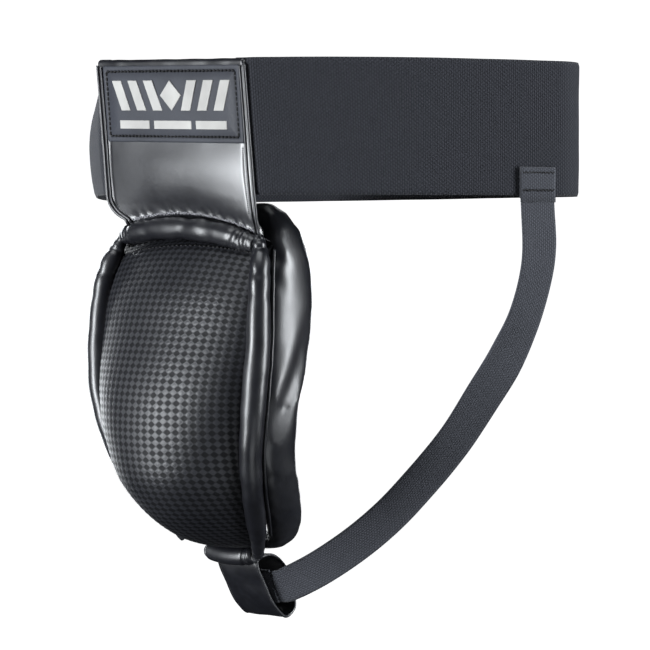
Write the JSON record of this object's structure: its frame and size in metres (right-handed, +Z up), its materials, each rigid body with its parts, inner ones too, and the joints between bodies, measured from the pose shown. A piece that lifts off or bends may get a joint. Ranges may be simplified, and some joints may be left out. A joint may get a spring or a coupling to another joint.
{
  "type": "groin protector",
  "caption": "Padded groin protector: hard cup under embossed artificial leather, hung from a wide elastic waistband with a front panel and two elastic leg straps.",
  "frame": {"origin": "centre of the waist loop, halfway up the waistband", "axes": "+Z up, along the wearer's body; the wearer faces -Y, so the cup is on the -Y side; +X is the wearer's left"},
  "size_m": [0.3622, 0.2206, 0.3426],
  "materials": {
    "waist_elastic": "woven elastic with fine cross ribs",
    "strap_elastic": "woven elastic",
    "pu_leather": "artificial leather with fine grain, satin gloss",
    "pu_embossed": "artificial leather embossed with small diamonds, semi-matt",
    "hard_plastic": "moulded, unpainted",
    "foam": "closed-cell foam",
    "lining": "knitted lining",
    "label_rubber": "matt dark grey patch",
    "label_print": "raised light grey mark",
    "thread": "twisted thread"
  },
  "bodies": {
    "waistband": {"waistband_elastic": "waist_elastic", "front_panel_outer": "pu_leather", "front_panel_foam": "foam", "front_panel_lining": "lining", "panel_binding_top": "pu_leather", "panel_binding_right": "pu_leather", "panel_binding_left": "pu_leather", "label_patch": "label_rubber", "label_emblem": "label_print", "label_stitching": "thread", "panel_seam_stitching": "thread", "strap_end_right": "strap_elastic", "strap_end_left": "strap_elastic", "strap_tacks_right": "thread", "strap_tacks_left": "thread"},
    "cup": {"cup_cover": "pu_embossed", "cup_shell": "hard_plastic", "cup_foam": "foam", "cup_lining": "lining", "cup_rim_stitching": "thread", "rim_roll_top": "pu_leather", "rim_roll_bottom": "pu_leather", "rim_roll_right": "pu_leather", "rim_roll_left": "pu_leather", "rim_piping_right": "pu_leather", "rim_piping_left": "pu_leather", "side_cushion_right": "pu_leather", "side_cushion_left": "pu_leather", "top_cushion": "pu_leather", "bottom_cushion": "pu_leather", "strap_tunnel": "pu_leather", "strap_in_tunnel": "strap_elastic", "leg_strap_right": "strap_elastic", "leg_strap_left": "strap_elastic"}
  },
  "joints": [
    {"name": "cup_swing", "type": "hinge", "parent": "waistband", "child": "cup", "pos_m": [0, -0.0847, -0.052], "axis": [1, 0, 0], "range_deg": [-20, 12], "stiffness_Nm_per_rad": 1.5, "deforming": ["leg_strap_right", "leg_strap_left"]}
  ]
}
